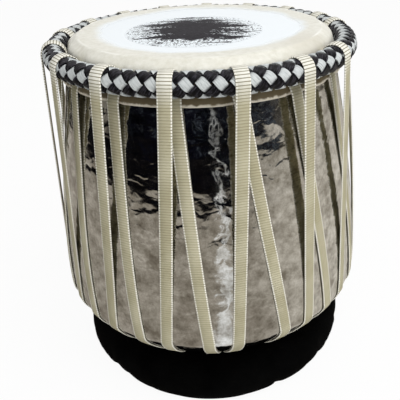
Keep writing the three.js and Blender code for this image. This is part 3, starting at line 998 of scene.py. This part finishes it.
def strap_rings():
    stations = strap_stations()
    middles = [placed(turn, point.x, point.y) for point, turn, _ in stations]
    rings = []
    for i, (_, turn, centre) in enumerate(stations):
        ahead = middles[min(i + 1, len(middles) - 1)]
        behind = middles[max(i - 1, 0)]
        travel = (ahead - behind).normalized()
        out = placed(turn, 1, 0)
        rise = travel.x * out.x + travel.y * out.y
        upright = Vector((-travel.z * out.x, -travel.z * out.y, rise))
        if centre:
            upright = placed(turn, centre.x, centre.y) - middles[i]
        upright.normalize()
        across = placed(turn + math.pi / 2, 1, 0)
        rings.append([
            middles[i] + across * side * STRAP_WIDTH / 2 + upright * layer * strap_half
            for side, layer in STRAP_SECTION_SHARES
        ])
    return rings


def make_strap():
    piece = swept_piece("laced_webbing_strap", strap_rings(), STRAP_UV_SHARES, False)
    webbing = new_material("grosgrain_webbing", grosgrain_webbing)
    finish_piece(piece, "laced_webbing_strap", "drum", webbing, ["lacing_strap"])


# The steel ring under the pot

def make_bottom_ring():
    deselect_all()
    bpy.ops.mesh.primitive_torus_add(
        major_radius=BOTTOM_RING_RADIUS, minor_radius=BOTTOM_RING_WIRE_RADIUS,
        major_segments=BOTTOM_RING_FACETS, minor_segments=WIRE_FACETS,
    )
    piece = bpy.context.object
    bpy.ops.object.mode_set(mode="EDIT")
    bpy.ops.mesh.select_all(action="SELECT")
    bpy.ops.transform.translate(value=(0, 0, wire_height))
    bpy.ops.object.mode_set(mode="OBJECT")
    steel = new_material("drawn_steel_wire", drawn_steel_wire)
    finish_piece(piece, "wire_ring", "drum", steel, ["bottom_ring"])


# The ring cushion

seat_line = offset_line(
    strap_line[belly_point:lift_point + 1] + [underside], -(strap_half + SEAT_GAP),
)
cushion_middle = Vector((
    CUSHION_RADIUS - CUSHION_SECTION_WIDTH / 2, CUSHION_HEIGHT / 2 - CUSHION_FLAT,
))


def press_cushion(vertices):
    """Every point is kept off the pot and the floor, as the drum's weight keeps it."""
    for vertex in vertices:
        radius = vertex.co.xy.length
        seat = height_at(seat_line, radius)
        if vertex.co.z > seat:
            vertex.co.z = seat
        vertex.co.z = max(vertex.co.z, 0)


def swell_cushion(piece):
    """The stuffing presses the cloth out: the ring grows rounder, and its sides draw in."""
    select_only(piece)
    remesh = piece.modifiers.new("remesh", "REMESH")
    remesh.mode = "VOXEL"
    remesh.voxel_size = CUSHION_VOXEL
    bpy.ops.object.modifier_apply(modifier="remesh")
    unswollen = [vertex.co.copy() for vertex in piece.data.vertices]
    cloth = piece.modifiers.new("cloth", "CLOTH")
    cloth.settings.use_pressure = True
    cloth.settings.uniform_pressure_force = CUSHION_PRESSURE
    cloth.settings.effector_weights.gravity = 0
    for i in range(1, CUSHION_FRAMES + 1):
        bpy.context.scene.frame_set(i)
    bpy.ops.object.modifier_apply(modifier="cloth")
    bpy.context.scene.frame_set(1)
    for vertex, start in zip(piece.data.vertices, unswollen):
        move = vertex.co - start
        if move.length > CUSHION_REACH:
            vertex.co = start + move.normalized() * CUSHION_REACH
    rounder = piece.modifiers.new("rounder", "SUBSURF")
    rounder.levels = 1
    rounder.render_levels = 1
    bpy.ops.object.modifier_apply(modifier="rounder")


def make_cushion():
    deselect_all()
    half_width = CUSHION_SECTION_WIDTH / 2 + CUSHION_DRAW
    half_height = CUSHION_HEIGHT / 2 - CUSHION_RISE + CUSHION_SAG
    bpy.ops.mesh.primitive_torus_add(
        major_radius=cushion_middle.x, minor_radius=half_width,
        major_segments=CUSHION_FACETS, minor_segments=CUSHION_SECTION_FACETS,
    )
    piece = bpy.context.object
    bpy.ops.object.mode_set(mode="EDIT")
    bpy.ops.mesh.select_all(action="SELECT")
    bpy.ops.transform.resize(value=(1, 1, half_height / half_width))
    bpy.ops.transform.translate(value=(0, 0, cushion_middle.y - CUSHION_SAG))
    bpy.ops.object.mode_set(mode="OBJECT")
    press_cushion(piece.data.vertices)
    swell_cushion(piece)
    press_cushion(piece.data.vertices)
    cloth = new_material("black_cotton_cloth", black_cotton_cloth)
    stood_for = ["cushion_cover", "cushion_stuffing"]
    finish_piece(piece, "ring_cushion", "cushion", cloth, stood_for)


# The floor and the light

def pale_floor(tree, places):
    """Pale matt board that reads as white and keeps a faint shadow of the drum."""
    mottles_a_metre = 9
    place = places["Object"]
    mottle = add(tree, "TexNoise", {"Vector": place, "Scale": mottles_a_metre, "Detail": 4})
    colour = add(tree, "ValToRGB", {"Fac": mottle}, stops=[(0.35, "#F1F1EF"), (0.65, "#F8F8F7")])
    board = add(tree, "BsdfDiffuse", {"Color": colour})
    white = add(tree, "Emission")
    seen = maths(tree, "MULTIPLY", plain_ray(tree), FLOOR_LIFT)
    return add(tree, "MixShader", {0: seen, 1: board, 2: white})


def worn_room_floor(tree, places):
    """The room's own grey floor, seen only in the plating, with a streak of daylight on it."""
    worn_spots_a_metre = 7
    streak_breaks_a_metre = 5
    streak_turn = math.radians(10)
    streak_offset = 22 * MM
    streak_edge = 34 * MM
    streak_core = 0.4 * streak_edge
    streak_waver = 2 * streak_edge
    grey_reach = 0.98
    dark_from = 1.12
    fray = 0.5
    whole_streak_reach = 0.34
    broken_streak_from = 0.42
    place = places["Object"]
    wear = add(
        tree, "TexNoise",
        {"Vector": place, "Scale": worn_spots_a_metre, "Detail": 6, "Roughness": 0.6},
    )
    near = add(tree, "ValToRGB", {"Fac": wear}, stops=[(0.35, "#948C82"), (0.65, "#C2BCB3")])
    away = add(tree, "VectorMath", {0: place}, operation="LENGTH")
    edge = add(tree, "MapRange", {"Value": wear, "To Min": -fray, "To Max": fray})
    frayed = maths(tree, "ADD", away, edge)
    far = add(tree, "MapRange", {"Value": frayed, "From Min": grey_reach, "From Max": dark_from})
    axes = add(tree, "SeparateXYZ", {"Vector": place})
    rightness = maths(tree, "DIVIDE", axes.outputs["X"], away)
    dark_side = add(
        tree, "MapRange",
        {"Value": rightness, "From Min": 0.3, "From Max": 0.5, "To Min": 1, "To Max": 0.12},
    )
    sunny_side = add(
        tree, "MapRange", {"Value": rightness, "From Min": 0.4, "From Max": 0.95, "To Max": 0.6},
    )
    lit = blend(tree, sunny_side, near, linear("#F4EFE6"))
    distant = maths(tree, "MULTIPLY", far, dark_side)
    lit_tone = blend(tree, distant, lit, linear("#0E0D10"))
    sideways = add(
        tree, "VectorMath", {0: place, 1: (math.cos(streak_turn), math.sin(streak_turn), 0)},
        operation="DOT_PRODUCT",
    )
    wavy = add(
        tree, "MapRange",
        {"Value": wear, "To Min": streak_offset - streak_waver,
         "To Max": streak_offset + streak_waver},
    )
    aside = maths(tree, "ADD", sideways, wavy)
    across = maths(tree, "ABSOLUTE", aside)
    streak = add(
        tree, "MapRange",
        {"Value": across, "From Min": streak_core, "From Max": streak_edge, "To Min": 1,
         "To Max": 0},
    )
    patches = add(tree, "TexNoise", {"Vector": place, "Scale": streak_breaks_a_metre, "Detail": 3})
    whole = add(
        tree, "MapRange",
        {"Value": away, "From Min": whole_streak_reach, "From Max": broken_streak_from,
         "To Min": 0.2, "To Max": 0},
    )
    steady = maths(tree, "ADD", patches, whole)
    shown = add(
        tree, "MapRange",
        {"Value": steady, "From Min": 0.4, "From Max": 0.5, "To Min": 0.55, "To Max": 1},
    )
    broken = maths(tree, "MULTIPLY", streak, shown)
    colour = blend(tree, broken, lit_tone, linear("#FAFCFF"))
    return add(tree, "Emission", {"Color": colour})


def dim_room(tree, places):
    """The far side of the room: dark, with a slit of daylight, and greyer to the left and right."""
    things_a_metre = 2.2
    glints_a_metre = 3
    crowded_from = math.radians(18)
    crowded_to = math.radians(30)
    place = places["Object"]
    axes = add(tree, "SeparateXYZ", {"Vector": place})
    front = maths(tree, "MULTIPLY", axes.outputs["Y"], -1)
    turn = maths(tree, "ARCTAN2", axes.outputs["X"], front)
    share = add(tree, "MapRange", {"Value": turn, "From Min": -ROOM_REACH, "From Max": ROOM_REACH})
    things = add(tree, "TexNoise", {"Vector": place, "Scale": things_a_metre, "Detail": 5})
    shifted = add(tree, "MapRange", {"Value": things, "To Min": -0.02, "To Max": 0.02})
    where = maths(tree, "ADD", share, shifted)

    def at(degrees):
        return 0.5 + math.radians(degrees) / (2 * ROOM_REACH)

    walls = add(
        tree, "ValToRGB", {"Fac": where},
        stops=[
            (at(-84), "#8A857C"), (at(-70), "#0C0C14"), (at(5), "#090912"), (at(6), "#E6E9EC"),
            (at(7), "#E6E9EC"), (at(8), "#0E0E16"), (at(54), "#1B1A20"), (at(64), "#8A857C"),
        ],
    )
    glints = add(
        tree, "TexNoise",
        {"Vector": place, "Scale": glints_a_metre, "Detail": 6, "Roughness": 0.6,
         "Distortion": 1.5},
    )
    crowded = add(
        tree, "MapRange",
        {"Value": turn, "From Min": crowded_from, "From Max": crowded_to, "To Max": 0.07},
    )
    more = maths(tree, "ADD", glints, crowded)
    lit = add(
        tree, "ValToRGB", {"Fac": more},
        stops=[(0.58, "#000000"), (0.62, "#5B6470"), (0.66, "#14161C"), (0.72, "#8D8B7C")],
    )
    together = add(
        tree, "Mix", {"Factor": 1.0, "A": walls, "B": lit}, data_type="RGBA", blend_type="LIGHTEN",
    )
    bright = add(
        tree, "MapRange",
        {"Value": things, "From Min": 0.35, "From Max": 0.65, "To Min": 0.3, "To Max": 1.3},
    )
    return add(tree, "Emission", {"Color": together, "Strength": bright})


def only_mirrored(thing):
    """Seen in the plating alone, as the rest of the room is."""
    thing.visible_camera = False
    thing.visible_diffuse = False
    thing.visible_shadow = False
    thing.visible_transmission = False


def make_stage():
    deselect_all()
    bpy.ops.mesh.primitive_plane_add(size=FLOOR_SIZE)
    floor = bpy.context.object
    floor.name = "floor"
    floor.data.materials.append(new_material("pale_floor", pale_floor))

    deselect_all()
    bpy.ops.mesh.primitive_circle_add(
        vertices=ROOM_SIDES, radius=ROOM_RADIUS, fill_type="NGON",
        location=(0, 0, ROOM_FLOOR_RISE),
    )
    room_floor = bpy.context.object
    room_floor.name = "room_floor"
    room_floor.data.materials.append(new_material("worn_room_floor", worn_room_floor))
    only_mirrored(room_floor)

    deselect_all()
    bpy.ops.mesh.primitive_circle_add(vertices=ROOM_SIDES, radius=ROOM_RADIUS)
    room = bpy.context.object
    room.name = "room"
    bpy.ops.object.mode_set(mode="EDIT")
    bpy.ops.mesh.extrude_edges_move(TRANSFORM_OT_translate={"value": (0, 0, ROOM_HEIGHT)})
    bpy.ops.mesh.select_all(action="SELECT")
    bpy.ops.mesh.bisect(
        plane_co=(0, -ROOM_RADIUS * math.cos(ROOM_REACH), 0), plane_no=(0, 1, 0),
        clear_outer=True,
    )
    bpy.ops.object.mode_set(mode="OBJECT")
    room.data.materials.append(new_material("dim_room", dim_room))
    only_mirrored(room)


def plain_ray(tree):
    """One for rays that show the background: seen directly, mirrored or through glass."""
    rays = add(tree, "LightPath").outputs
    mirrored = maths(tree, "MAXIMUM", rays["Is Glossy Ray"], rays["Is Transmission Ray"])
    return maths(tree, "MAXIMUM", rays["Is Camera Ray"], mirrored)


def light_world():
    """Even white light. The background itself is plain white."""
    world = bpy.data.worlds.new("studio")
    bpy.context.scene.world = world
    world.use_nodes = True
    tree = world.node_tree
    tree.nodes.clear()
    dim = add(tree, "Background", {"Color": linear("#FFFFFF"), "Strength": WORLD_LEVEL})
    white = add(tree, "Background", {"Color": linear("#FFFFFF")})
    mixed = add(tree, "MixShader", {0: plain_ray(tree), 1: dim, 2: white})
    add(tree, "OutputWorld", {"Surface": mixed})


def add_softbox(name, place, size, watts, mirrored):
    data = bpy.data.lights.new(name, "AREA")
    data.shape = "SQUARE"
    data.size = size
    data.energy = watts
    lamp = bpy.data.objects.new(name, data)
    bpy.context.scene.collection.objects.link(lamp)
    lamp.location = place
    lamp.rotation_euler = (LAMP_TARGET - place).to_track_quat("-Z", "Y").to_euler()
    lamp.visible_glossy = mirrored


bpy.context.scene.view_settings.view_transform = "Standard"
add_camera()
goatskin = new_material("dressed_goatskin", dressed_goatskin)
make_shell()
make_head(goatskin)
make_paste()
make_plait()
make_strap()
make_bottom_ring()
make_cushion()
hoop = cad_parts["braid_core_hoop"]
hoop.data.materials.clear()
hoop.data.materials.append(new_material("raw_hide_hoop", raw_hide_hoop))
make_stage()
light_world()
add_softbox("key", KEY_PLACE, KEY_SIZE, KEY_WATTS, mirrored=True)
add_softbox("fill", FILL_PLACE, FILL_SIZE, FILL_WATTS, mirrored=False)
